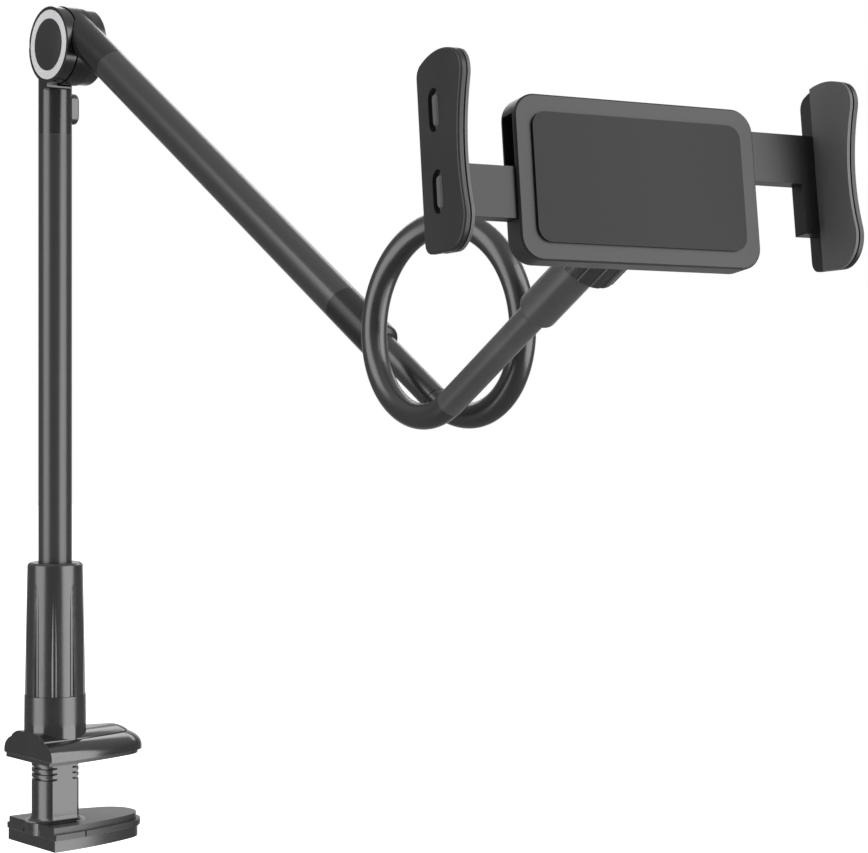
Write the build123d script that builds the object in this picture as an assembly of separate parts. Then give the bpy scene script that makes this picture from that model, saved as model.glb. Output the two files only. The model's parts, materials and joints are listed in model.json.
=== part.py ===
"""Desk clamp holder: clamp, upright rod, folding elbow, arm, looped gooseneck and a sprung cradle.

Millimetres. The origin is on the clamp post's axis, in the plane of the desk's top face.
+Z runs up the rod, +X is the way the arm leans out, +Y is the way the clamp jaws reach.
"""
import math
import os
from build123d import *

# Fits and gaps between pieces
RUNNING_GAP = 0.08          # radial, between a journal and its bore
SLIDE_GAP = 0.2             # beside a sliding tongue
TURN_GAP = 0.3              # between pieces that move past each other
SEAT_GAP = 0.05             # radial, round a spigot pushed into a tube

# Desk clamp
CLAMP_GAP = 29.0            # between the two pads
JAW_HALF_WIDTH = 23.0       # lower jaw
JAW_BACK = 13.0             # from the post's axis to the lower jaw's flat back
JAW_TIP = 45.0              # from the post's axis to the lower jaw's rounded tip
JAW_TIP_RADIUS = 16.0
UPPER_HALF_WIDTH = 22.4     # the upper jaw is a little narrower and longer
UPPER_BACK = 15.0
UPPER_TIP = 46.0
CROWN_FOOT = 1.6            # upright part of the upper jaw's side, above its pad
CROWN_WIDTH = 12.0          # half axes of the ellipse that the side rolls over on
CROWN_HEIGHT = 7.6
CROWN_STEPS = 5             # sections between the upright side and the top facet
FACET_INSET = 7.0           # edge of the top facet, in from the jaw's outline
FACET_LEVEL = 15.0          # where the facet has levelled out, in from the outline
FACET_STEP = 0.5            # upright edge round the facet
FACET_RISE = 2.9
FACET_STEPS = 3
PAD_THICK = 2.0
PAD_INSET = 2.0
COLLAR_FOOT_RADIUS = 14.9
COLLAR_TOP_RADIUS = 14.6
COLLAR_TOP = 30.8
LOWER_JAW_THICK = 5.5
LOWER_JAW_INSET = 1.2       # lower jaw within the rim of its pad
LOWER_RIM_THICK = 2.8
LOWER_PAD_RAISED = 3.0
RIM_NOTCH = 0.8             # width of the gate marks in the lower pad's rim
NOTCH_BACK = 7.2            # marks in the back, from the middle
NOTCH_SIDE = 3.7            # marks in the sides, ahead of the post's axis
NOTCH_TIP_DEG = 46.5        # marks in the tip, round from the side
POST_RADIUS = 11.2
POST_FLAT = 9.0             # from the axis to each of the two flats
POST_TOP = 58.0
POST_FILLET = 3.0
THREAD_PITCH = 2.65
THREAD_DEPTH = 1.3
THREAD_FOOT = -10.0         # lowest thread ridge
THREAD_RIDGES = 9

# Clamping sleeve
SLEEVE_TOP = 94.1
SLEEVE_TOP_RADIUS = 13.15
SLEEVE_FOOT_RADIUS = 14.4
SLEEVE_ROOF = 4.0
SLEEVE_CHAMFER = 1.0
FLUTE_COUNT = 10
FLUTE_PHASE = 0.1           # first flute from +X, in parts of the flutes' pitch
FLUTE_RADIUS = 1.7
FLUTE_DEPTH = 0.75          # at the sleeve's foot
FLUTE_HEIGHT = 52.0         # where a flute runs out

# Upright rod and arm
TUBE_RADIUS = 8.0
TUBE_WALL = 1.2
TUBE_LENGTH = 209.0         # both tubes are cut alike
ROD_FOOT_Z = 89.9
SPIGOT_LENGTH = 25.0
JOURNAL_RADIUS = 6.8
JOURNAL_FOOT = 14.0
POST_WEB = 4.0              # web in the post that the rod's screw pulls against
SCREW_WELL_RADIUS = 6.0
SCREW_RADIUS = 2.5
SCREW_LENGTH = 16.0
SCREW_HEAD_RADIUS = 4.2
SCREW_HEAD = 3.0
WASHER_RADIUS = 5.6
WASHER_THICK = 1.2

# Folding elbow
ELBOW_RISE = 41.5           # pivot above the rod's top
ELBOW_OFFSET = 10.55        # pivot to the rod's axis, and to the arm's axis
ARM_DROP_DEG = 32.71        # arm below the horizontal
EAR_RADIUS = 18.0
EAR_THICK = 5.5
NEAR_FACE = -10.0           # outer face of the near ear, along Y
FAR_FACE = 11.2
FRICTION_WASHER = 0.5
FRICTION_RADIUS = 12.0
BRIDGE_DROP = 20.4          # underside of the shelf below the pivot
BRIDGE_START = 2.5          # shelf's inner edge from the rod's axis
BRIDGE_REACH = 9.4          # shelf's outer edge from the rod's axis
BRIDGE_FAR = 3.0            # shelf's far end, along Y
BRIDGE_ROUND = 1.0
RING_OUTER = 16.38
RING_INNER = 12.3
RING_THICK = 1.2
CAP_PROUD = 0.3             # cap's rim ahead of the ear
CAP_DOME = 1.1              # cap's middle ahead of its rim
BOLT_RADIUS = 3.0
BOLT_HEAD_RADIUS = 6.2
BOLT_HEAD = 2.4
NUT_FLATS = 10.0
NUT_THICK = 3.0
NECK_LENGTH = 42.0          # knuckle from the pivot to the arm tube
BUTTON_HEIGHT = 14.8
BUTTON_WIDTH = 8.0
BUTTON_PROUD = 3.2
BUTTON_DROP = 28.6          # button's middle below the pivot
BUTTON_DEPTH = 6.7
BUTTON_POCKET = 1.5         # floor of the button's pocket, from the rod's axis
BUTTON_ROUND = 1.0

# Gooseneck
SOCKET_LENGTH = 31.2
SOCKET_ROUND = 2.5
FERRULE_RADIUS = 5.25
FERRULE_SEAT = 12.0
ROOT_FERRULE = 39.2         # visible length
TIP_FERRULE = 64.4          # visible length
NECK_RADIUS = 5.0
CORE_RADIUS = 3.5
LOOP_RADIUS = 36.6
LOOP_TURN_DEG = 423.65
LOOP_SHIFT = -27.7          # how far the loop runs sideways along Y
LOOP_CORNERS = 14

# Ball joint behind the cradle
STEM_RADIUS = 7.4
STEM_ROUND = 1.5
BALL_REACH = 43.3           # stem's foot to the ball's centre
BALL_RADIUS = 8.0
CUP_RADIUS = 10.0
CUP_BACK = 9.5              # cup behind the ball's centre
CUP_FRONT = 3.0             # cup ahead of the ball's centre
RING_WALL = 2.4
LIP_THICK = 1.2
LIP_RADIUS = 8.4
LOCK_CHAMFER = 0.8
KNURL_COUNT = 16
KNURL_RADIUS = 0.8
STUD_RADIUS = 3.0
STUD_FLANGE_RADIUS = 6.5
STUD_FLANGE = 2.2

# Cradle, in its own frame: x along its slides, y up, z out of its seat
CRADLE_TURN_DEG = -12.29    # about Z, from facing +X
CRADLE_TILT_DEG = 8.96      # leaning back
CRADLE_ROLL_DEG = -1.2      # right-hand jaw lower than the left one
JAW_GAP = 144.3             # between the two jaw pads
BALL_BELOW = 18.5           # ball below the seat's centre
BALL_BEHIND = 28.4
BODY_HALF_LENGTH = 46.0
BODY_LOW = -31.0
BODY_HIGH = 24.0
BODY_CORNER = 8.0
BODY_BACK = -11.0
BODY_ROUND = 1.5
BACK_WALL = 1.8
COVER_THICK = 1.6
COVER_CHAMFER = 0.6
SEAT_PAD_THICK = 1.0
SEAT_PAD_INSET = 6.0
TONGUE_HALF_WIDTH = 17.2
TONGUE_THICK = 6.2
TONGUE_END = 2.0            # tongue's inner end, short of the middle
ROOT_LENGTH = 7.5
RETAINER_RADIUS = 11.5
RETAINER_THICK = 5.0
RETAINER_CHAMFER = 1.0
RETAINER_SCREW_CIRCLE = 9.0
COVER_SCREW_SIDE = 8.0      # screws from the body's ends
COVER_SCREW_FOOT = 6.5      # lower screws from the body's lower edge
COVER_SCREW_HEAD = 3.1      # upper screws from the body's upper edge
SMALL_SCREW_RADIUS = 1.2
SMALL_HEAD_RADIUS = 2.2
SMALL_HEAD = 1.2

# Cradle jaws
PLATE_THICK = 2.0
JAW_PAD_THICK = 1.6
PLATE_TOP = 27.5            # at the front corner, before it is rounded
PLATE_TOP_RISE = 3.5        # how much higher the top is at the back
PLATE_PEAK_RISE = 6.8       # how much higher the top is at its bowed middle
PLATE_PEAK = 2.0            # where that is, ahead of the seat
PLATE_FOOT = -32.9          # at the front corner, before it is rounded
PLATE_FOOT_RISE = 4.0       # how much higher the foot is at the back
PLATE_BACK = -11.0
PLATE_FRONT_TOP = 21.5      # front corner at the top, before it is rounded
PLATE_FRONT_FOOT = 22.0     # front corner at the foot, before it is rounded
PLATE_WAIST = 15.0          # front edge at its hollow middle
FRONT_TOP_CORNER = 8.0
FRONT_FOOT_CORNER = 10.5
BACK_TOP_CORNER = 4.5
BACK_FOOT_CORNER = 3.8
PLATE_EDGE = 0.8
GROOVE_WIDTH = 0.6          # shadow line between plate and pad
GROOVE_DEPTH = 1.0
SLOT_LENGTH = 14.2
SLOT_WIDTH = 7.0
SLOT_HIGH = 15.5
SLOT_LOW = -10.8
SLOT_FORWARD = 0.2
LUG_LENGTH = 10.8
LUG_WIDTH = 3.4
LUG_CHAMFER = 0.6
LUG_SHORT = 0.2             # lug's top below the plate's outer face

# Values that follow
UP = Vector(0, 0, 1)
ACROSS = Vector(0, 1, 0)
TUBE_BORE = TUBE_RADIUS - TUBE_WALL
SPIGOT_RADIUS = TUBE_BORE - SEAT_GAP
ROD_TOP_Z = ROD_FOOT_Z + TUBE_LENGTH
PIVOT = Vector(ELBOW_OFFSET, 0, ROD_TOP_Z + ELBOW_RISE)
DROP = math.radians(ARM_DROP_DEG)
ARM_WAY = Vector(math.cos(DROP), 0, -math.sin(DROP))
ARM_SIDE = Vector(math.sin(DROP), 0, math.cos(DROP))
ARM_START = PIVOT + ARM_SIDE * ELBOW_OFFSET
EYE_RADIUS = ELBOW_OFFSET + TUBE_RADIUS
EYE_NEAR = NEAR_FACE + EAR_THICK + FRICTION_WASHER
EYE_FAR = FAR_FACE - EAR_THICK - FRICTION_WASHER
BORE_RADIUS = POST_RADIUS + TURN_GAP
LOWER_PAD_TOP = -CLAMP_GAP
LOWER_RIM_TOP = LOWER_PAD_TOP - LOWER_PAD_RAISED
LOWER_JAW_TOP = LOWER_RIM_TOP - LOWER_RIM_THICK
LOWER_JAW_FOOT = LOWER_JAW_TOP - LOWER_JAW_THICK
PLINTH_RADIUS = POST_RADIUS + POST_FILLET + SLIDE_GAP
ARM_TUBE_END = NECK_LENGTH + TUBE_LENGTH
SOCKET_END = ARM_TUBE_END + SOCKET_LENGTH
BEND_START = SOCKET_END + ROOT_FERRULE


def bar(start, way, radius, length):
    """A round bar from a start point along a direction."""
    plane = Plane(origin=start, z_dir=way)
    return plane * Cylinder(radius, length, align=(Align.CENTER, Align.CENTER, Align.MIN))


def cross_bar(y_from, y_to, radius):
    """A round bar along Y, centred on the elbow's pivot."""
    return bar(Vector(PIVOT.X, y_from, PIVOT.Z), ACROSS, radius, y_to - y_from)


def on_arm(distance):
    """The point of the arm's axis at a distance from the elbow."""
    return ARM_START + ARM_WAY * distance


def jaw_plan(half, back, tip, tip_radius):
    """A clamp jaw's plan: a flat back, two bowed sides and a rounded tip that they run into smoothly."""
    rise = tip - tip_radius - back
    side = (half * half + rise * rise - tip_radius * tip_radius) / (2 * (half - tip_radius))
    turn = math.asin(rise / (side - tip_radius))
    centre = half - side
    touch = (centre + side * math.cos(turn), back + side * math.sin(turn))
    middle = (centre + side * math.cos(turn / 2), back + side * math.sin(turn / 2))
    edges = [
        Line((-half, back), (half, back)),
        ThreePointArc((half, back), middle, touch),
        ThreePointArc(touch, (0, tip), (-touch[0], touch[1])),
        ThreePointArc((-touch[0], touch[1]), (-middle[0], middle[1]), (-half, back)),
    ]
    return make_face(Wire(edges))


def upper_plan(inset):
    return jaw_plan(UPPER_HALF_WIDTH - inset, -UPPER_BACK, UPPER_TIP - inset, JAW_TIP_RADIUS - inset)


def lower_plan(inset):
    return jaw_plan(JAW_HALF_WIDTH - inset, -JAW_BACK, JAW_TIP - inset, JAW_TIP_RADIUS - inset)


def slab(face, low, high):
    """A plan face extruded between two heights."""
    return Pos(0, 0, low) * extrude(face, high - low)


def double_d(radius, flat, low, high):
    """A round bar with two flats that face along X."""
    round_bar = Pos(0, 0, low) * Cylinder(radius, high - low, align=(Align.CENTER, Align.CENTER, Align.MIN))
    middle = (low + high) / 2
    return round_bar & (Pos(0, 0, middle) * Box(2 * flat, 4 * radius, high - low))


def crown(foot):
    """The upper jaw's rolled side: plans that lean in along an ellipse, but not at the flat back."""
    end = math.acos(1 - FACET_INSET / CROWN_WIDTH)
    sections = []
    for step in range(CROWN_STEPS + 1):
        turn = end * step / CROWN_STEPS
        height = foot + CROWN_HEIGHT * math.sin(turn)
        sections.append(Pos(0, 0, height) * upper_plan(CROWN_WIDTH * (1 - math.cos(turn))))
    return loft(sections)


def facet(foot):
    """The low dome on top of the upper jaw, which stands up from the rolled side with a crisp edge."""
    sections = []
    for step in range(FACET_STEPS + 1):
        share = step / FACET_STEPS
        inset = FACET_INSET + (FACET_LEVEL - FACET_INSET) * share
        height = foot + FACET_STEP + FACET_RISE * share * (2 - share)
        sections.append(Pos(0, 0, height) * upper_plan(inset))
    return slab(upper_plan(FACET_INSET), foot, foot + FACET_STEP) + loft(sections)


def upper_jaw():
    low = PAD_THICK
    side = slab(upper_plan(0), low, low + CROWN_FOOT)
    rolled = crown(low + CROWN_FOOT)
    body = side + rolled + facet(rolled.bounding_box().max.Z)
    collar = Cone(
        COLLAR_FOOT_RADIUS, COLLAR_TOP_RADIUS, COLLAR_TOP - low, align=(Align.CENTER, Align.CENTER, Align.MIN)
    )
    body = body + Pos(0, 0, low) * collar
    return body - double_d(BORE_RADIUS, POST_FLAT + TURN_GAP, low - 1, COLLAR_TOP + 1)


def upper_jaw_pad():
    pad = slab(upper_plan(PAD_INSET), 0, PAD_THICK)
    return pad - bar(Vector(0, 0, -1), UP, BORE_RADIUS, PAD_THICK + 2)


def thread_ridges():
    """The post's thread, as rings of trapezoid section."""
    root = POST_RADIUS - THREAD_DEPTH
    crest = THREAD_PITCH * 0.3
    flank = THREAD_PITCH * 0.62
    grooves = []
    for ridge in range(THREAD_RIDGES):
        z = THREAD_FOOT + ridge * THREAD_PITCH
        outline = Polyline(
            (root, 0, z + (THREAD_PITCH - crest) / 2),
            (POST_RADIUS + 1, 0, z + (THREAD_PITCH - flank) / 2),
            (POST_RADIUS + 1, 0, z + (THREAD_PITCH + flank) / 2),
            (root, 0, z + (THREAD_PITCH + crest) / 2),
            close=True,
        )
        grooves.append(revolve(make_face(outline), Axis.Z))
    return grooves


def lower_jaw():
    plate = slab(lower_plan(LOWER_JAW_INSET), LOWER_JAW_FOOT, LOWER_JAW_TOP)
    plinth = bar(Vector(0, 0, LOWER_JAW_TOP), UP, PLINTH_RADIUS, LOWER_PAD_TOP - LOWER_JAW_TOP)
    post = double_d(POST_RADIUS, POST_FLAT, LOWER_JAW_TOP, POST_TOP)
    body = plate + plinth + post
    foot = body.edges().filter_by_position(Axis.Z, LOWER_PAD_TOP, LOWER_PAD_TOP)
    body = fillet([edge for edge in foot if edge.bounding_box().max.X < PLINTH_RADIUS - SEAT_GAP], POST_FILLET)
    for groove in thread_ridges():
        body = body - groove
    well_top = JOURNAL_FOOT - POST_WEB
    body = body - bar(Vector(0, 0, JOURNAL_FOOT), UP, JOURNAL_RADIUS + RUNNING_GAP, POST_TOP)
    body = body - bar(Vector(0, 0, LOWER_JAW_FOOT - 1), UP, SCREW_WELL_RADIUS, well_top - LOWER_JAW_FOOT + 1)
    return body - bar(Vector(0, 0, well_top - 1), UP, SCREW_RADIUS + TURN_GAP, POST_WEB + 2)


def lower_jaw_pad():
    rim = slab(lower_plan(0), LOWER_JAW_TOP, LOWER_RIM_TOP)
    top = slab(lower_plan(PAD_INSET), LOWER_RIM_TOP, LOWER_PAD_TOP)
    pad = rim + top
    pad = pad - bar(Vector(0, 0, LOWER_JAW_TOP - 1), UP, PLINTH_RADIUS + SEAT_GAP, CLAMP_GAP)
    middle = (LOWER_JAW_TOP + LOWER_RIM_TOP) / 2
    notch = Box(2 * PAD_INSET, RIM_NOTCH, LOWER_RIM_THICK + 2 * SEAT_GAP)
    tip_centre = Pos(0, JAW_TIP - JAW_TIP_RADIUS, middle)
    for side in (-1, 1):
        pad = pad - Pos(side * JAW_HALF_WIDTH, NOTCH_SIDE, middle) * notch
        pad = pad - Pos(side * NOTCH_BACK, -JAW_BACK, middle) * Rot(0, 0, 90) * notch
        turn = Rot(0, 0, 90 + side * (90 - NOTCH_TIP_DEG))
        pad = pad - tip_centre * turn * Pos(JAW_TIP_RADIUS, 0, 0) * notch
    return pad


def clamp_sleeve():
    foot = COLLAR_TOP + SLIDE_GAP
    height = SLEEVE_TOP - foot
    outside = Pos(0, 0, foot) * Cone(
        SLEEVE_FOOT_RADIUS, SLEEVE_TOP_RADIUS, height, align=(Align.CENTER, Align.CENTER, Align.MIN)
    )
    outside = chamfer(outside.edges().sort_by(Axis.Z)[-1], SLEEVE_CHAMFER)
    taper = (SLEEVE_FOOT_RADIUS - SLEEVE_TOP_RADIUS) / height
    low_at = SLEEVE_FOOT_RADIUS + FLUTE_RADIUS - FLUTE_DEPTH
    high_at = SLEEVE_FOOT_RADIUS - taper * FLUTE_HEIGHT + FLUTE_RADIUS
    lean = Vector(high_at - low_at, 0, FLUTE_HEIGHT)
    start = Vector(low_at, 0, foot) - lean * 0.1
    flute = bar(start, lean.normalized(), FLUTE_RADIUS, lean.length * 1.2)
    for number in range(FLUTE_COUNT):
        outside = outside - Rot(0, 0, 360 * (number + FLUTE_PHASE) / FLUTE_COUNT) * flute
    bore = bar(Vector(0, 0, foot - 1), UP, BORE_RADIUS, height - SLEEVE_ROOF + 1)
    hole = bar(Vector(0, 0, foot), UP, TUBE_RADIUS + TURN_GAP, height + 1)
    return outside - bore - hole


def tube(start, way):
    outside = bar(start, way, TUBE_RADIUS, TUBE_LENGTH)
    return outside - bar(start - way, way, TUBE_BORE, TUBE_LENGTH + 2)


def lower_rod():
    return tube(Vector(0, 0, ROD_FOOT_Z), UP)


def rod_foot():
    """The turned foot that carries the rod in the post."""
    shoulder = bar(Vector(0, 0, POST_TOP), UP, TUBE_RADIUS, ROD_FOOT_Z - POST_TOP)
    spigot = bar(Vector(0, 0, ROD_FOOT_Z), UP, SPIGOT_RADIUS, SPIGOT_LENGTH)
    journal = bar(Vector(0, 0, JOURNAL_FOOT), UP, JOURNAL_RADIUS, POST_TOP - JOURNAL_FOOT)
    body = shoulder + spigot + journal
    return body - bar(Vector(0, 0, JOURNAL_FOOT - 1), UP, SCREW_RADIUS + SEAT_GAP, SCREW_LENGTH)


def base_washer():
    top = JOURNAL_FOOT - POST_WEB
    disc = bar(Vector(0, 0, top - WASHER_THICK), UP, WASHER_RADIUS, WASHER_THICK)
    return disc - bar(Vector(0, 0, top - WASHER_THICK - 1), UP, SCREW_RADIUS + SEAT_GAP, WASHER_THICK + 2)


def base_screw():
    seat = JOURNAL_FOOT - POST_WEB - WASHER_THICK
    head = bar(Vector(0, 0, seat - SCREW_HEAD), UP, SCREW_HEAD_RADIUS, SCREW_HEAD)
    head = fillet(head.edges().sort_by(Axis.Z)[0], SCREW_HEAD * 0.4)
    socket = extrude(RegularPolygon(SCREW_RADIUS * 0.8, 6), SCREW_HEAD * 0.6)
    head = head - Pos(0, 0, seat - SCREW_HEAD) * socket
    return head + bar(Vector(0, 0, seat), UP, SCREW_RADIUS, SCREW_LENGTH)


def elbow_yoke():
    shank = bar(Vector(0, 0, ROD_TOP_Z), UP, TUBE_RADIUS, ELBOW_RISE)
    spigot = bar(Vector(0, 0, ROD_TOP_Z - SPIGOT_LENGTH), UP, SPIGOT_RADIUS, SPIGOT_LENGTH)
    ears = cross_bar(NEAR_FACE, FAR_FACE, EAR_RADIUS)
    shelf_depth = BRIDGE_REACH - BRIDGE_START
    shelf_width = BRIDGE_FAR - NEAR_FACE
    shelf = Box(shelf_depth, shelf_width, BRIDGE_DROP, align=(Align.MIN, Align.MIN, Align.MIN))
    shelf = fillet(shelf.edges().filter_by(Axis.Y).sort_by(Axis.Z)[:2], BRIDGE_ROUND)
    shelf = Pos(BRIDGE_START, NEAR_FACE, PIVOT.Z - BRIDGE_DROP) * shelf
    body = shank + spigot + ears + shelf
    body = body - cross_bar(EYE_NEAR - FRICTION_WASHER, EYE_FAR + FRICTION_WASHER, EYE_RADIUS + 2 * TURN_GAP)
    above = Box(4 * EAR_RADIUS, 4 * EAR_RADIUS, 2 * EAR_RADIUS, align=(Align.CENTER, Align.CENTER, Align.MIN))
    lid = Pos(-2 * EAR_RADIUS + PIVOT.X - EAR_RADIUS * 0.98, 0, PIVOT.Z) * above
    body = body - lid
    body = body - cross_bar(NEAR_FACE - 1, NEAR_FACE + RING_THICK, RING_OUTER + SEAT_GAP)
    body = body - cross_bar(NEAR_FACE, NEAR_FACE + RING_THICK + BOLT_HEAD, BOLT_HEAD_RADIUS + SEAT_GAP)
    body = body - cross_bar(FAR_FACE - RING_THICK, FAR_FACE + 1, RING_INNER)
    nut_hole = extrude(RegularPolygon((NUT_FLATS + 2 * SEAT_GAP) / 2, 6, major_radius=False), NUT_THICK)
    nut_plane = Plane(origin=(PIVOT.X, FAR_FACE - RING_THICK - NUT_THICK, PIVOT.Z), z_dir=(0, 1, 0))
    body = body - nut_plane * nut_hole
    body = body - cross_bar(NEAR_FACE, FAR_FACE, BOLT_RADIUS + SEAT_GAP)
    pocket = extrude(button_outline(SLIDE_GAP), 2 * FAR_FACE)
    return body - Pos(0, BUTTON_POCKET, PIVOT.Z - BUTTON_DROP) * Rot(-90, 0, 0) * pocket


def button_outline(gap):
    """The button's upright rounded outline, drawn flat."""
    return Rot(0, 0, 90) * SlotOverall(BUTTON_HEIGHT + 2 * gap, BUTTON_WIDTH + 2 * gap)


def release_button():
    body = extrude(button_outline(0), BUTTON_DEPTH)
    body = fillet(body.faces().sort_by(Axis.Z)[-1].edges(), BUTTON_ROUND)
    back = TUBE_RADIUS + BUTTON_PROUD - BUTTON_DEPTH
    return Pos(0, back, PIVOT.Z - BUTTON_DROP) * Rot(-90, 0, 0) * body


def elbow_ring():
    ring = cross_bar(NEAR_FACE, NEAR_FACE + RING_THICK, RING_OUTER)
    return ring - cross_bar(NEAR_FACE - 1, NEAR_FACE + RING_THICK + 1, RING_INNER)


def domed_cap(face, outward):
    """A low domed cap let into an ear's face; outward is -1 on the near side and 1 on the far one."""
    radius = RING_INNER - SEAT_GAP
    seat = face - outward * RING_THICK
    peak = face + outward * (CAP_PROUD + CAP_DOME)
    cap = cross_bar(min(seat, peak), max(seat, peak), radius)
    dome = (radius * radius + CAP_DOME * CAP_DOME) / (2 * CAP_DOME)
    return cap & (Pos(PIVOT.X, peak - outward * dome, PIVOT.Z) * Sphere(dome))


def elbow_cap():
    return domed_cap(NEAR_FACE, -1)


def far_cap():
    return domed_cap(FAR_FACE, 1)


def elbow_bolt():
    seat = NEAR_FACE + RING_THICK
    head = cross_bar(seat, seat + BOLT_HEAD, BOLT_HEAD_RADIUS)
    return head + cross_bar(seat + BOLT_HEAD, FAR_FACE - RING_THICK, BOLT_RADIUS)


def elbow_nut():
    body = extrude(RegularPolygon(NUT_FLATS / 2, 6, major_radius=False), NUT_THICK)
    plane = Plane(origin=(PIVOT.X, FAR_FACE - RING_THICK - NUT_THICK, PIVOT.Z), z_dir=(0, 1, 0))
    return plane * body - cross_bar(NEAR_FACE, FAR_FACE, BOLT_RADIUS)


def friction_washers():
    hole = cross_bar(NEAR_FACE, FAR_FACE, BOLT_RADIUS + SEAT_GAP)
    near = cross_bar(EYE_NEAR - FRICTION_WASHER, EYE_NEAR, FRICTION_RADIUS) - hole
    far = cross_bar(EYE_FAR, EYE_FAR + FRICTION_WASHER, FRICTION_RADIUS) - hole
    return Compound(children=[near, far])


def arm_knuckle():
    eye = cross_bar(EYE_NEAR, EYE_FAR, EYE_RADIUS)
    neck = bar(on_arm(0), ARM_WAY, TUBE_RADIUS, NECK_LENGTH)
    ears = EAR_RADIUS + 2 * TURN_GAP
    neck = neck - cross_bar(NEAR_FACE - 1, EYE_NEAR, ears) - cross_bar(EYE_FAR, FAR_FACE + 1, ears)
    spigot = bar(on_arm(NECK_LENGTH), ARM_WAY, SPIGOT_RADIUS, SPIGOT_LENGTH)
    return eye + neck + spigot - cross_bar(NEAR_FACE, FAR_FACE, BOLT_RADIUS + RUNNING_GAP)


def upper_arm():
    return tube(on_arm(NECK_LENGTH), ARM_WAY)


def arm_end_socket():
    body = bar(on_arm(ARM_TUBE_END), ARM_WAY, TUBE_RADIUS, SOCKET_LENGTH)
    body = fillet(body.edges().sort_by(Axis.X)[-1], SOCKET_ROUND)
    spigot = bar(on_arm(ARM_TUBE_END - SPIGOT_LENGTH), ARM_WAY, SPIGOT_RADIUS, SPIGOT_LENGTH)
    seat = bar(on_arm(SOCKET_END - FERRULE_SEAT), ARM_WAY, FERRULE_RADIUS + SEAT_GAP, FERRULE_SEAT + 1)
    return body + spigot - seat


def root_ferrule():
    start = SOCKET_END - FERRULE_SEAT
    body = bar(on_arm(start), ARM_WAY, FERRULE_RADIUS, BEND_START - start)
    hole_start = on_arm(BEND_START - FERRULE_SEAT)
    return body - bar(hole_start, ARM_WAY, CORE_RADIUS + SEAT_GAP, FERRULE_SEAT + 1)


def loop_corners():
    """Corners of the polygon that the gooseneck's loop is rounded from, with both of its ends."""
    turn = math.radians(LOOP_TURN_DEG) / LOOP_CORNERS
    half_side = LOOP_RADIUS * math.tan(turn / 2)
    drift = LOOP_SHIFT / (2 * half_side * LOOP_CORNERS)
    point = on_arm(BEND_START)
    heading = -DROP
    corners = [point]
    for number in range(LOOP_CORNERS + 1):
        side = half_side if number in (0, LOOP_CORNERS) else 2 * half_side
        ease = min(1.0, number / 3)
        way = Vector(math.cos(heading), drift * ease, math.sin(heading))
        point = point + way * side
        corners.append(point)
        heading = heading + turn
    return corners


def loop_path():
    corners = loop_corners()
    radii = []
    for before, here, after in zip(corners, corners[1:], corners[2:]):
        first = here - before
        second = after - here
        half_turn = math.radians(first.get_angle(second)) / 2
        room = min(
            first.length * (0.98 if before == corners[0] else 0.49),
            second.length * (0.98 if after == corners[-1] else 0.49),
        )
        radii.append(room / math.tan(half_turn))
    return FilletPolyline(*corners, radius=radii)


def gooseneck():
    path = loop_path()
    start = path @ 0
    end = path @ 1
    section = Plane(origin=start, z_dir=path % 0) * Circle(NECK_RADIUS)
    body = sweep(section, path=path)
    root_core = bar(start, (path % 0) * -1, CORE_RADIUS, FERRULE_SEAT)
    tip_core = bar(end, path % 1, CORE_RADIUS, FERRULE_SEAT)
    return body + root_core + tip_core


LOOP = loop_path()
TIP_START = LOOP @ 1
TIP_WAY = LOOP % 1
STEM_START = TIP_START + TIP_WAY * TIP_FERRULE
BALL = STEM_START + TIP_WAY * BALL_REACH


def tip_ferrule():
    body = bar(TIP_START, TIP_WAY, FERRULE_RADIUS, TIP_FERRULE + FERRULE_SEAT)
    return body - bar(TIP_START - TIP_WAY, TIP_WAY, CORE_RADIUS + SEAT_GAP, FERRULE_SEAT + 1)


def ball_stem():
    """Stem with the cup that the ball turns in."""
    stem = bar(STEM_START, TIP_WAY, STEM_RADIUS, BALL_REACH - CUP_BACK)
    stem = fillet(stem.edges().sort_by(Axis.X)[0], STEM_ROUND)
    cup = bar(BALL - TIP_WAY * CUP_BACK, TIP_WAY, CUP_RADIUS, CUP_BACK + CUP_FRONT)
    seat = bar(STEM_START - TIP_WAY, TIP_WAY, FERRULE_RADIUS + SEAT_GAP, FERRULE_SEAT + 1)
    return stem + cup - seat - Pos(BALL) * Sphere(BALL_RADIUS + RUNNING_GAP)


def lock_ring():
    back = BALL - TIP_WAY * (CUP_BACK - TURN_GAP)
    front = CUP_FRONT + TURN_GAP + LIP_THICK
    length = CUP_BACK - TURN_GAP + front
    outer = CUP_RADIUS + RUNNING_GAP + RING_WALL
    ring = bar(back, TIP_WAY, outer, length)
    ring = chamfer(ring.edges(), LOCK_CHAMFER)
    ring = ring - bar(back - TIP_WAY, TIP_WAY, CUP_RADIUS + RUNNING_GAP, length - LIP_THICK + 1)
    ring = ring - bar(back, TIP_WAY, LIP_RADIUS, length + 1)
    plane = Plane(origin=back - TIP_WAY, z_dir=TIP_WAY)
    groove = Pos(outer + KNURL_RADIUS * 0.4, 0, 0) * Cylinder(
        KNURL_RADIUS, length + 2, align=(Align.CENTER, Align.CENTER, Align.MIN)
    )
    for number in range(KNURL_COUNT):
        ring = ring - plane * (Rot(0, 0, 360 * number / KNURL_COUNT) * groove)
    return ring


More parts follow.
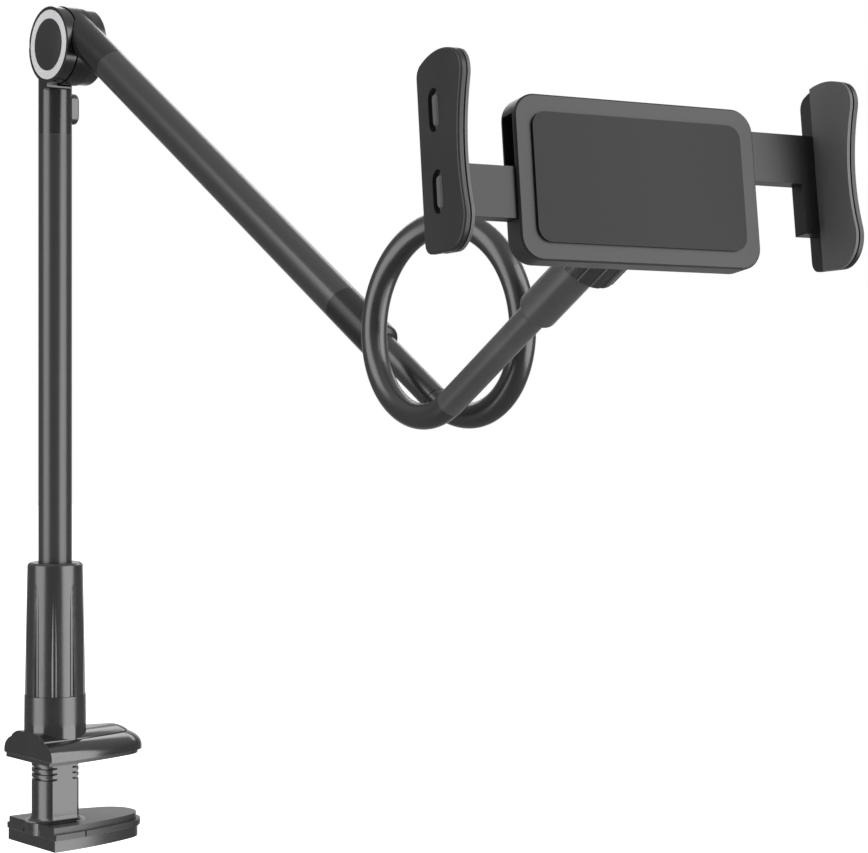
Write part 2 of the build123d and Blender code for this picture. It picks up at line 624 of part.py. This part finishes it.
TURN = math.radians(CRADLE_TURN_DEG)
TILT = math.radians(CRADLE_TILT_DEG)
ROLL = math.radians(CRADLE_ROLL_DEG)
SEAT_OUT = Vector(math.cos(TURN) * math.cos(TILT), math.sin(TURN) * math.cos(TILT), math.sin(TILT))
LEVEL = Vector(-math.sin(TURN), math.cos(TURN), 0)
SEAT_ALONG = LEVEL * math.cos(ROLL) + SEAT_OUT.cross(LEVEL) * math.sin(ROLL)
SEAT_UP = SEAT_OUT.cross(SEAT_ALONG)
SEAT_CENTRE = BALL + SEAT_UP * BALL_BELOW + SEAT_OUT * BALL_BEHIND
SEAT = Plane(origin=SEAT_CENTRE, x_dir=SEAT_ALONG, z_dir=SEAT_OUT)

COVER_FRONT = -SEAT_PAD_THICK
COVER_BACK = COVER_FRONT - COVER_THICK
TONGUE_FRONT = COVER_BACK - SLIDE_GAP
TONGUE_BACK = TONGUE_FRONT - TONGUE_THICK
RETAINER_BACK = BODY_BACK - RETAINER_THICK
PAD_FACE = JAW_GAP / 2
PLATE_INNER = PAD_FACE + JAW_PAD_THICK
PLATE_OUTER = PLATE_INNER + PLATE_THICK


def local_bar(x, y, low, high, radius):
    """A round bar along the cradle's z axis."""
    return Pos(x, y, low) * Cylinder(radius, high - low, align=(Align.CENTER, Align.CENTER, Align.MIN))


def ball_stud():
    ball = Pos(0, -BALL_BELOW, -BALL_BEHIND) * Sphere(BALL_RADIUS)
    flange_front = BODY_BACK - SLIDE_GAP
    shank = local_bar(0, -BALL_BELOW, -BALL_BEHIND, flange_front, STUD_RADIUS)
    flange = local_bar(0, -BALL_BELOW, flange_front - STUD_FLANGE, flange_front, STUD_FLANGE_RADIUS)
    return SEAT * (ball + shank + flange)


def retainer_screw_places():
    places = []
    for number in range(3):
        angle = math.radians(90 + 120 * number)
        x = RETAINER_SCREW_CIRCLE * math.cos(angle)
        y = RETAINER_SCREW_CIRCLE * math.sin(angle) - BALL_BELOW
        places.append((x, y))
    return places


def stud_retainer():
    body = local_bar(0, -BALL_BELOW, RETAINER_BACK, BODY_BACK, RETAINER_RADIUS)
    body = chamfer(body.edges().sort_by(Axis.Z)[0], RETAINER_CHAMFER)
    recess_back = BODY_BACK - STUD_FLANGE - 2 * SLIDE_GAP
    body = body - local_bar(0, -BALL_BELOW, recess_back, BODY_BACK + 1, STUD_FLANGE_RADIUS + TURN_GAP)
    body = body - local_bar(0, -BALL_BELOW, RETAINER_BACK - 1, BODY_BACK, STUD_RADIUS + RUNNING_GAP)
    for x, y in retainer_screw_places():
        body = body - local_bar(x, y, RETAINER_BACK - 1, BODY_BACK + 1, SMALL_SCREW_RADIUS + SEAT_GAP)
        body = body - local_bar(x, y, RETAINER_BACK - 1, RETAINER_BACK + SMALL_HEAD, SMALL_HEAD_RADIUS + SEAT_GAP)
    return SEAT * body


def small_screw(x, y, back, length):
    """A pan-headed screw driven along +z, its head let in flush with the back."""
    head = local_bar(x, y, back, back + SMALL_HEAD, SMALL_HEAD_RADIUS)
    across = 2 * SMALL_SCREW_RADIUS
    cross = Box(across, across / 4, SMALL_HEAD) + Box(across / 4, across, SMALL_HEAD)
    cross = Pos(x, y, back) * cross
    shank = local_bar(x, y, back + SMALL_HEAD, back + length, SMALL_SCREW_RADIUS)
    return head + shank - cross


def retainer_screws():
    length = RETAINER_THICK + BACK_WALL - SLIDE_GAP
    screws = [small_screw(x, y, RETAINER_BACK, length) for x, y in retainer_screw_places()]
    return SEAT * Compound(children=screws)


def cover_screw_places():
    places = []
    reach = BODY_HALF_LENGTH - COVER_SCREW_SIDE
    for x in (-reach, reach):
        for y in (BODY_LOW + COVER_SCREW_FOOT, BODY_HIGH - COVER_SCREW_HEAD):
            places.append((x, y))
    return places


def cover_screws():
    length = COVER_FRONT - BODY_BACK - 2 * SLIDE_GAP
    screws = [small_screw(x, y, BODY_BACK, length) for x, y in cover_screw_places()]
    return SEAT * Compound(children=screws)


def body_outline(inset):
    width = 2 * (BODY_HALF_LENGTH - inset)
    height = BODY_HIGH - BODY_LOW - 2 * inset
    middle = (BODY_HIGH + BODY_LOW) / 2
    return Pos(0, middle, 0) * RectangleRounded(width, height, BODY_CORNER - inset * 0.5)


def cradle_body():
    body = slab(body_outline(0), BODY_BACK, COVER_BACK)
    body = fillet(body.faces().sort_by(Axis.Z)[0].edges(), BODY_ROUND)
    lane_height = COVER_BACK - TONGUE_BACK + SLIDE_GAP
    lane = Box(3 * BODY_HALF_LENGTH, 2 * (TONGUE_HALF_WIDTH + SLIDE_GAP), lane_height)
    body = body - Pos(0, 0, COVER_BACK - lane_height / 2) * lane
    for x, y in cover_screw_places():
        body = body - local_bar(x, y, BODY_BACK - 1, COVER_BACK + 1, SMALL_SCREW_RADIUS + SEAT_GAP)
        body = body - local_bar(x, y, BODY_BACK - 1, BODY_BACK + SMALL_HEAD, SMALL_HEAD_RADIUS + SEAT_GAP)
    for x, y in retainer_screw_places():
        body = body - local_bar(x, y, BODY_BACK - 1, BODY_BACK + BACK_WALL, SMALL_SCREW_RADIUS + SEAT_GAP)
    return SEAT * body


def cradle_cover():
    body = slab(body_outline(0), COVER_BACK, COVER_FRONT)
    body = chamfer(body.faces().sort_by(Axis.Z)[-1].edges(), COVER_CHAMFER)
    for x, y in cover_screw_places():
        body = body - local_bar(x, y, COVER_BACK - 1, COVER_FRONT - SLIDE_GAP, SMALL_SCREW_RADIUS + SEAT_GAP)
    return SEAT * body


def seat_pad():
    return SEAT * slab(body_outline(SEAT_PAD_INSET), COVER_FRONT, 0)


def plate_outline(inset):
    """A cradle jaw's outline in its y-z plane, drawn flat with z to the right."""
    top = PLATE_TOP - inset
    foot = PLATE_FOOT + inset
    back = PLATE_BACK + inset
    front_foot = (PLATE_FRONT_FOOT - inset, foot)
    front_top = (PLATE_FRONT_TOP - inset, top)
    back_top = (back, top + PLATE_TOP_RISE)
    back_foot = (back, foot + PLATE_FOOT_RISE)
    waist = (PLATE_WAIST - inset, (top + foot) / 2)
    peak = (PLATE_PEAK, top + PLATE_PEAK_RISE)
    edges = [
        Line(back_foot, front_foot),
        ThreePointArc(front_foot, waist, front_top),
        ThreePointArc(front_top, peak, back_top),
        Line(back_top, back_foot),
    ]
    face = make_face(Wire(edges))
    corners = (
        (front_foot, FRONT_FOOT_CORNER), (front_top, FRONT_TOP_CORNER),
        (back_top, BACK_TOP_CORNER), (back_foot, BACK_FOOT_CORNER),
    )
    for corner, radius in corners:
        face = fillet(face.vertices().sort_by_distance(Vector(*corner))[0], radius - inset)
    return face


def upright(sketch, x_from, x_to):
    """A flat jaw outline stood up across the slides and extruded along x."""
    plane = Plane(origin=(x_from, 0, 0), x_dir=(0, 0, 1), z_dir=(1, 0, 0))
    return extrude(plane * (mirror(sketch, Plane.XZ)), x_to - x_from)


def slots(length, width):
    """The two upright slot outlines of a jaw."""
    slot = Rot(0, 0, 90) * SlotOverall(length, width)
    return [Pos(SLOT_FORWARD, SLOT_HIGH) * slot, Pos(SLOT_FORWARD, SLOT_LOW) * slot]


def right_jaw_local(lane):
    """The right jaw: an upright plate on a tongue that runs in one lane of the body."""
    plate = upright(plate_outline(0), PLATE_INNER, PLATE_OUTER)
    plate = fillet(plate.faces().sort_by(Axis.X)[-1].edges(), PLATE_EDGE)
    for slot in slots(SLOT_LENGTH, SLOT_WIDTH):
        plate = plate - upright(slot, PLATE_INNER - 1, PLATE_OUTER + 1)
    thick = TONGUE_FRONT - TONGUE_BACK
    middle = (TONGUE_FRONT + TONGUE_BACK) / 2
    lane_width = TONGUE_HALF_WIDTH - SLIDE_GAP
    length = PLATE_INNER - TONGUE_END
    tongue = Box(length, lane_width, thick, align=(Align.MIN, Align.CENTER, Align.CENTER))
    tongue = Pos(TONGUE_END, lane * (TONGUE_HALF_WIDTH + SLIDE_GAP) / 2, middle) * tongue
    root = Box(ROOT_LENGTH, 2 * TONGUE_HALF_WIDTH, thick, align=(Align.MAX, Align.CENTER, Align.CENTER))
    root = Pos(PLATE_INNER, 0, middle) * root
    return plate + tongue + root


def jaw_pad_local():
    """The right jaw's rubber pad, with a shadow line beside the plate and two lugs through it."""
    step = PLATE_INNER - GROOVE_WIDTH
    pad = upright(plate_outline(0), PAD_FACE, step)
    pad = pad + upright(plate_outline(GROOVE_DEPTH), step, PLATE_INNER)
    tall = PLATE_TOP - PLATE_FOOT
    keep = Box(2 * tall, 4 * tall, tall, align=(Align.CENTER, Align.CENTER, Align.MIN))
    pad = pad & (Pos(PLATE_INNER, 0, TONGUE_FRONT + SEAT_GAP) * keep)
    for outline in slots(LUG_LENGTH, LUG_WIDTH):
        lug = upright(outline, step, PLATE_OUTER - LUG_SHORT)
        pad = pad + chamfer(lug.faces().sort_by(Axis.X)[-1].edges(), LUG_CHAMFER)
    return pad


def right_jaw():
    return SEAT * right_jaw_local(1)


def right_jaw_pad():
    return SEAT * jaw_pad_local()


def left_jaw():
    return SEAT * mirror(right_jaw_local(-1), Plane.YZ)


def left_jaw_pad():
    return SEAT * mirror(jaw_pad_local(), Plane.YZ)


PIECES = [
    upper_jaw, upper_jaw_pad, lower_jaw, lower_jaw_pad, clamp_sleeve,
    lower_rod, rod_foot, base_washer, base_screw,
    elbow_yoke, release_button, elbow_ring, elbow_cap, far_cap, elbow_bolt, elbow_nut, friction_washers,
    arm_knuckle, upper_arm, arm_end_socket,
    root_ferrule, gooseneck, tip_ferrule,
    ball_stem, lock_ring, ball_stud, stud_retainer, retainer_screws,
    cradle_body, cradle_cover, cover_screws, seat_pad,
    left_jaw, left_jaw_pad, right_jaw, right_jaw_pad,
]

os.makedirs("parts", exist_ok=True)
for piece in PIECES:
    export_step(piece(), f"parts/{piece.__name__}.step")
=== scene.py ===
"""Studio view of the desk clamp holder: finishes, soft light, pale floor and camera."""
import json
import math

import bpy
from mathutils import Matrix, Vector


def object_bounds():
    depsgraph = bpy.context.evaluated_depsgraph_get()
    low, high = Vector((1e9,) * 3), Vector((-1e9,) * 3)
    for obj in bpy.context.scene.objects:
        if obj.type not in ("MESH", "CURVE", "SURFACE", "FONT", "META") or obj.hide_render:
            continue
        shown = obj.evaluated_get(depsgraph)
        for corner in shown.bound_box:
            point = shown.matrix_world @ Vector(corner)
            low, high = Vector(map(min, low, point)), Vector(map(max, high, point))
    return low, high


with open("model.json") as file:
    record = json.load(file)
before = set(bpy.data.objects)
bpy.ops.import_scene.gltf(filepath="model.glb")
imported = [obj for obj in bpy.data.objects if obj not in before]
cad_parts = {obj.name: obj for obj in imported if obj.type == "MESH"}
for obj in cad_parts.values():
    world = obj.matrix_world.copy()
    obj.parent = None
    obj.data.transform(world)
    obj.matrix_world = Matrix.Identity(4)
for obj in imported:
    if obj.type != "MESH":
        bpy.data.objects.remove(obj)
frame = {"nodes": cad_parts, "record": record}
cad_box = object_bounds()

# Camera, in metres and pixels of an 868 by 853 picture
PICTURE_WIDTH = 868
PICTURE_HEIGHT = 853
FOCAL_PIXELS = 2423
HORIZON_ROW = 360
EYE = (1.0123, -0.5983, 0.191)
YAW = math.radians(50.53)
SENSOR_WIDTH = 36
NEAREST = 0.01
FURTHEST = 50

# Towards the camera, to the picture's right and up, seen from the place that the lights aim at
TO_EYE = Vector((math.sin(YAW), -math.cos(YAW), 0))
TO_RIGHT = Vector((math.cos(YAW), math.sin(YAW), 0))
UPWARD = Vector((0, 0, 1))
STAGE_MIDDLE = Vector((0.21, -0.02, 0.19))

# Room that reflections see: how bright it and its ceiling are, and the cosines over which
# the ceiling and the white backdrop fade in
ROOM_LEVEL = 0.22
CEILING_LEVEL = 0.6
CEILING_FADE = (0.2, 0.9)
BACKDROP_FADE = (0.85, 0.99)

# Floor below the clamp, which hangs on a desk's edge: its drop, half width, tone and own
# brightness under the object, and the distances over which it pales to white
FLOOR_DROP = 0.25
FLOOR_HALF = 6.0
FLOOR_TONE = 0.8
FLOOR_GLOW = 0.05
FLOOR_FADE = (0.3, 1.2)

# Worn edges, also lightened as painted highlights along edges: their width, the cosines of a
# turning surface, the patches that break them up, and how many times paler they are where a finish
# doesn't say
EDGE_WEAR_AND_HIGHLIGHT_WIDTH = 0.0006
EDGE_WEAR_AND_HIGHLIGHT_SAMPLES = 6
EDGE_WEAR_AND_HIGHLIGHT_TURN = (0.80, 0.985)
EDGE_WEAR_AND_HIGHLIGHT_PATCHES = (0.40, 0.62)
EDGE_WEAR_AND_HIGHLIGHT_LEAST = 0.25
WEAR_GAIN = 2

# Uneven tone and gloss, in waves a metre, and the noise levels over which they drift
BROAD_GRAIN = 45
TONE_FADE = (0.35, 0.65)
GLOSS_FADE = (0.3, 0.7)

# Depth of the fine grain, and the trace of blue in every grey
GRAIN_DEPTH = 0.00005
BLUE_TRACE = 1.02
WHITE = (1, 1, 1, 1)

# The upper jaw is polished up to the foot of its collar
POLISH_FADE = (0.0165, 0.0185)

# Drawn tubes have a grain that runs along them, and the arm leans below the horizontal
DRAWN = (1, 1, 0.05)
ARM_DROP = math.radians(32.71)


def make_camera():
    data = bpy.data.cameras.new("camera")
    data.sensor_fit = "HORIZONTAL"
    data.sensor_width = SENSOR_WIDTH
    data.lens = FOCAL_PIXELS / PICTURE_WIDTH * SENSOR_WIDTH
    data.shift_y = (HORIZON_ROW - PICTURE_HEIGHT / 2) / PICTURE_WIDTH
    data.clip_start = NEAREST
    data.clip_end = FURTHEST
    camera = bpy.data.objects.new("camera", data)
    camera.location = EYE
    camera.rotation_euler = (math.radians(90), 0, YAW)
    bpy.context.scene.collection.objects.link(camera)
    bpy.context.scene.camera = camera


def softbox(name, turn_deg, rise, width, height, distance, power):
    """A soft light, turned sideways from the camera's side and raised above the stage's middle."""
    turn = math.radians(turn_deg)
    way = TO_EYE * math.cos(turn) + TO_RIGHT * math.sin(turn)
    data = bpy.data.lights.new(name, "AREA")
    data.shape = "RECTANGLE"
    data.size = width
    data.size_y = height
    data.energy = power
    light = bpy.data.objects.new(name, data)
    light.location = STAGE_MIDDLE + way * distance + UPWARD * rise
    aim = STAGE_MIDDLE - light.location
    light.rotation_euler = aim.to_track_quat("-Z", "Y").to_euler()
    light.visible_camera = False
    bpy.context.scene.collection.objects.link(light)


def make_lights():
    softbox(
        "softbox_left", turn_deg=-64, rise=0.1, width=1.0, height=2.4, distance=1.25, power=20
    )
    softbox(
        "softbox_right", turn_deg=67, rise=0.1, width=1.35, height=2.4, distance=1.25, power=34
    )
    softbox(
        "softbox_back", turn_deg=173, rise=0.68, width=1.8, height=0.3, distance=1.28, power=4.2
    )


def grey(value):
    return (value, value, value * BLUE_TRACE, 1)


def link_all(tree, pairs):
    for start, end in pairs:
        tree.links.new(start, end)


def combine(tree, operation, first, second):
    """Two values added or multiplied, and kept between 0 and 1."""
    node = tree.nodes.new("ShaderNodeMath")
    node.operation = operation
    node.use_clamp = True
    tree.links.new(first, node.inputs[0])
    tree.links.new(second, node.inputs[1])
    return node.outputs["Value"]


def compare(tree, operation, vector, fixed):
    """How far a direction points along a fixed one, or a place lies from a fixed one."""
    node = tree.nodes.new("ShaderNodeVectorMath")
    node.operation = operation
    node.inputs[1].default_value = fixed
    tree.links.new(vector, node.inputs[0])
    return node.outputs["Value"]


def remap(tree, value, span, start, end):
    """A value's way through a span, turned into a way from start to end."""
    node = tree.nodes.new("ShaderNodeMapRange")
    node.inputs["From Min"].default_value = span[0]
    node.inputs["From Max"].default_value = span[1]
    node.inputs["To Min"].default_value = start
    node.inputs["To Max"].default_value = end
    tree.links.new(value, node.inputs["Value"])
    return node.outputs["Result"]


def noise(tree, vector, scale, detail):
    node = tree.nodes.new("ShaderNodeTexNoise")
    node.inputs["Scale"].default_value = scale
    node.inputs["Detail"].default_value = detail
    tree.links.new(vector, node.inputs["Vector"])
    return node.outputs["Fac"]


def make_world():
    """White for the camera and for reflections of the backdrop, else a grey room, paler above."""
    world = bpy.data.worlds.new("studio")
    bpy.context.scene.world = world
    world.use_nodes = True
    tree = world.node_tree
    tree.nodes.clear()
    out = tree.nodes.new("ShaderNodeOutputWorld")
    mix = tree.nodes.new("ShaderNodeMixShader")
    rays = tree.nodes.new("ShaderNodeLightPath").outputs
    seen = tree.nodes.new("ShaderNodeBackground")
    room = tree.nodes.new("ShaderNodeBackground")
    way = tree.nodes.new("ShaderNodeTexCoord").outputs["Generated"]
    behind = compare(tree, "DOT_PRODUCT", way, -TO_EYE)
    backdrop = remap(tree, behind, BACKDROP_FADE, 0.0, 1.0)
    height = compare(tree, "DOT_PRODUCT", way, UPWARD)
    overhead = remap(tree, height, CEILING_FADE, ROOM_LEVEL, CEILING_LEVEL)
    mirrored = combine(tree, "ADD", rays["Is Glossy Ray"], rays["Is Transmission Ray"])
    reflected = combine(tree, "MULTIPLY", mirrored, backdrop)
    white = combine(tree, "ADD", rays["Is Camera Ray"], reflected)
    seen.inputs["Strength"].default_value = 1.0
    seen.inputs["Color"].default_value = WHITE
    room.inputs["Color"].default_value = WHITE
    link_all(tree, [
        (overhead, room.inputs["Strength"]),
        (white, mix.inputs["Fac"]),
        (room.outputs["Background"], mix.inputs[1]),
        (seen.outputs["Background"], mix.inputs[2]),
        (mix.outputs["Shader"], out.inputs["Surface"]),
    ])


def floor_material(level):
    """Pale under the object, where its shadow falls, and white for the camera further off."""
    material = bpy.data.materials.new("floor_white")
    material.use_nodes = True
    tree = material.node_tree
    tree.nodes.clear()
    out = tree.nodes.new("ShaderNodeOutputMaterial")
    both = tree.nodes.new("ShaderNodeAddShader")
    rays = tree.nodes.new("ShaderNodeLightPath").outputs
    lit = tree.nodes.new("ShaderNodeBsdfDiffuse")
    glow = tree.nodes.new("ShaderNodeEmission")
    place = tree.nodes.new("ShaderNodeTexCoord").outputs["Object"]
    reach = compare(tree, "DISTANCE", place, (STAGE_MIDDLE.x, STAGE_MIDDLE.y, level))
    paling = remap(tree, reach, FLOOR_FADE, FLOOR_GLOW, 1.0)
    lit.inputs["Color"].default_value = (FLOOR_TONE, FLOOR_TONE, FLOOR_TONE, 1)
    glow.inputs["Color"].default_value = WHITE
    link_all(tree, [
        (combine(tree, "MULTIPLY", rays["Is Camera Ray"], paling), glow.inputs["Strength"]),
        (lit.outputs["BSDF"], both.inputs[0]),
        (glow.outputs["Emission"], both.inputs[1]),
        (both.outputs["Shader"], out.inputs["Surface"]),
    ])
    return material


def make_floor():
    """A floor below the clamp and all that the arm reaches."""
    level = cad_box[0].z - FLOOR_DROP
    signs = ((-1, -1), (1, -1), (1, 1), (-1, 1))
    corners = [(x * FLOOR_HALF, y * FLOOR_HALF, level) for x, y in signs]
    mesh = bpy.data.meshes.new("floor")
    mesh.from_pydata(corners, [], [(0, 1, 2, 3)])
    mesh.materials.append(floor_material(level))
    floor = bpy.data.objects.new("floor", mesh)
    floor.visible_glossy = False
    floor.visible_shadow = False
    bpy.context.scene.collection.objects.link(floor)


def edge_wear_and_highlight_mask(tree, patches):
    """Where the surface turns over an edge, broken up into patches: the mask for worn edges and
    painted edge highlights.
    """
    rounded = tree.nodes.new("ShaderNodeBevel")
    rounded.samples = EDGE_WEAR_AND_HIGHLIGHT_SAMPLES
    rounded.inputs["Radius"].default_value = EDGE_WEAR_AND_HIGHLIGHT_WIDTH
    geometry = tree.nodes.new("ShaderNodeNewGeometry")
    facing = tree.nodes.new("ShaderNodeVectorMath")
    facing.operation = "DOT_PRODUCT"
    tree.links.new(rounded.outputs["Normal"], facing.inputs[0])
    tree.links.new(geometry.outputs["Normal"], facing.inputs[1])
    edge = remap(tree, facing.outputs["Value"], EDGE_WEAR_AND_HIGHLIGHT_TURN, 1.0, 0.0)
    return combine(tree, "MULTIPLY", edge, remap(tree, patches, EDGE_WEAR_AND_HIGHLIGHT_PATCHES, EDGE_WEAR_AND_HIGHLIGHT_LEAST, 1.0))


def drawn_along(tree, place, stretch, lean):
    """Places on the piece, turned and stretched so that a drawn grain runs along it."""
    turn = tree.nodes.new("ShaderNodeMapping")
    scale = tree.nodes.new("ShaderNodeMapping")
    turn.inputs["Rotation"].default_value = (0, lean, 0)
    scale.inputs["Scale"].default_value = stretch
    tree.links.new(place, turn.inputs["Vector"])
    tree.links.new(turn.outputs["Vector"], scale.inputs["Vector"])
    return scale.outputs["Vector"]


def tone_with_wear_and_edge_highlight(tree, broad, tones, edge_wear_and_highlight_tone):
    """Two close tones that drift into each other, and a paler one on the edges for wear and
    painted edge highlights.
    """
    tone = tree.nodes.new("ShaderNodeValToRGB")
    for element, position, value in zip(tone.color_ramp.elements, TONE_FADE, tones):
        element.position = position
        element.color = grey(value)
    paint = tree.nodes.new("ShaderNodeMix")
    paint.data_type = "RGBA"
    paint.inputs["B"].default_value = grey(edge_wear_and_highlight_tone)
    # The paler edge colour is wear, and a painted highlight where a finish sets it as pale as
    # 0.06.
    link_all(tree, [
        (broad, tone.inputs["Fac"]),
        (edge_wear_and_highlight_mask(tree, broad), paint.inputs["Factor"]),
        (tone.outputs["Color"], paint.inputs["A"]),
    ])
    return paint.outputs["Result"]


def surface(
    name, tones, rough, grain, bump,
    ior=1.5, metallic=0.0, edge_wear_and_highlight_tone=None, stretch=(1, 1, 1), lean=0.0, polish=1.0,
):
    """Two close tones, uneven roughness, fine grain in waves a metre, and paler edges: wear, with
    painted highlights where a finish gives a pale edge tone.
    """
    material = bpy.data.materials.new(name)
    material.use_nodes = True
    tree = material.node_tree
    shader = tree.nodes["Principled BSDF"]
    shader.inputs["IOR"].default_value = ior
    shader.inputs["Metallic"].default_value = metallic
    place = tree.nodes.new("ShaderNodeTexCoord").outputs["Object"]
    along = drawn_along(tree, place, stretch, lean)
    broad = noise(tree, along, BROAD_GRAIN, detail=3)
    fine = noise(tree, along, grain, detail=4)
    gloss = remap(tree, broad, GLOSS_FADE, rough[0], rough[1])
    if polish < 1:
        height = compare(tree, "DOT_PRODUCT", place, UPWARD)
        gloss = combine(tree, "MULTIPLY", gloss, remap(tree, height, POLISH_FADE, polish, 1.0))
    relief = tree.nodes.new("ShaderNodeBump")
    relief.inputs["Strength"].default_value = bump
    relief.inputs["Distance"].default_value = GRAIN_DEPTH
    tone = tone_with_wear_and_edge_highlight(tree, broad, tones, edge_wear_and_highlight_tone or tones[1] * WEAR_GAIN)
    link_all(tree, [
        (tone, shader.inputs["Base Color"]),
        (gloss, shader.inputs["Roughness"]),
        (fine, relief.inputs["Height"]),
        (relief.outputs["Normal"], shader.inputs["Normal"]),
    ])
    return material


def make_materials():
    return {
        # Its edge tone of 0.06 paints highlights along the edges, much paler than wear alone.
        "charcoal_plastic": surface(
            "charcoal_plastic", tones=(0.011, 0.014), rough=(0.24, 0.27),
            grain=5200, bump=0.03, ior=1.8, edge_wear_and_highlight_tone=0.06,
        ),
        "yoke_plastic": surface(
            "yoke_plastic", tones=(0.004, 0.006), rough=(0.24, 0.27),
            grain=5200, bump=0.03, ior=1.72, edge_wear_and_highlight_tone=0.03,
        ),
        "matte_plastic": surface(
            "matte_plastic", tones=(0.010, 0.013), rough=(0.38, 0.43), grain=4200, bump=0.06,
        ),
        "knuckle_plastic": surface(
            "knuckle_plastic", tones=(0.005, 0.007), rough=(0.26, 0.30), grain=5200, bump=0.03,
        ),
        "satin_plastic": surface(
            "satin_plastic", tones=(0.040, 0.047), rough=(0.30, 0.34),
            grain=5200, bump=0.04, ior=1.6,
        ),
        # Its edge tone of 0.06 paints highlights along the edges, much paler than wear alone.
        "gloss_plastic": surface(
            "gloss_plastic", tones=(0.010, 0.013), rough=(0.25, 0.28),
            grain=5200, bump=0.02, ior=1.8, edge_wear_and_highlight_tone=0.06, polish=0.55,
        ),
        "black_rubber": surface(
            "black_rubber", tones=(0.011, 0.015), rough=(0.60, 0.66),
            grain=1300, bump=0.15, ior=1.4,
        ),
        # Its edge tone of 0.06 paints highlights along the edges, much paler than wear alone.
        "clamp_rubber": surface(
            "clamp_rubber", tones=(0.012, 0.016), rough=(0.34, 0.38),
            grain=1300, bump=0.08, ior=1.65, edge_wear_and_highlight_tone=0.06,
        ),
        "grey_rubber": surface(
            "grey_rubber", tones=(0.068, 0.076), rough=(0.48, 0.56), grain=1300, bump=0.12,
        ),
        "anodised_tube": surface(
            "anodised_tube", tones=(0.017, 0.021), rough=(0.27, 0.30),
            grain=3200, bump=0.012, ior=1.68, stretch=DRAWN,
        ),
        "anodised_arm": surface(
            "anodised_arm", tones=(0.015, 0.019), rough=(0.25, 0.28),
            grain=3200, bump=0.012, ior=1.72, stretch=DRAWN, lean=math.radians(-90) - ARM_DROP,
        ),
        "coated_neck": surface(
            "coated_neck", tones=(0.010, 0.013), rough=(0.27, 0.30),
            grain=5200, bump=0.03, ior=1.75,
        ),
        "steel": surface(
            "plain_steel", tones=(0.45, 0.55), rough=(0.28, 0.36),
            grain=1200, bump=0.06, metallic=1.0, edge_wear_and_highlight_tone=0.62,
        ),
        "silver_ring": surface(
            "satin_ring", tones=(0.58, 0.64), rough=(0.36, 0.44),
            grain=2200, bump=0.06, metallic=0.3, edge_wear_and_highlight_tone=0.7,
        ),
        "nylon": surface(
            "nylon", tones=(0.55, 0.62), rough=(0.45, 0.55), grain=1500, bump=0.06, edge_wear_and_highlight_tone=0.66,
        ),
    }


# Nodes whose finish differs from the rest of their record slot
FINISHES = {
    "left_jaw": "matte_plastic",
    "right_jaw": "matte_plastic",
    "cradle_body": "matte_plastic",
    "cradle_cover": "matte_plastic",
    "stud_retainer": "matte_plastic",
    "upper_jaw": "gloss_plastic",
    "upper_jaw_pad": "clamp_rubber",
    "lower_jaw_pad": "clamp_rubber",
    "elbow_yoke": "yoke_plastic",
    "arm_knuckle": "knuckle_plastic",
    "arm_end_socket": "knuckle_plastic",
    "tip_ferrule": "satin_plastic",
    "ball_stem": "satin_plastic",
    "elbow_cap": "matte_plastic",
    "far_cap": "matte_plastic",
    "left_jaw_pad": "grey_rubber",
    "right_jaw_pad": "grey_rubber",
    "upper_arm": "anodised_arm",
}


def dress_nodes(materials):
    """Gives every CAD node its finish."""
    for part in frame["record"]["subparts"]:
        node = frame["nodes"][part["node"]]
        finish = FINISHES.get(part["node"], part["material_slot"])
        node.data.materials.clear()
        node.data.materials.append(materials[finish])


make_camera()
make_lights()
make_world()
make_floor()
dress_nodes(make_materials())
bpy.context.scene.view_settings.view_transform = "Standard"
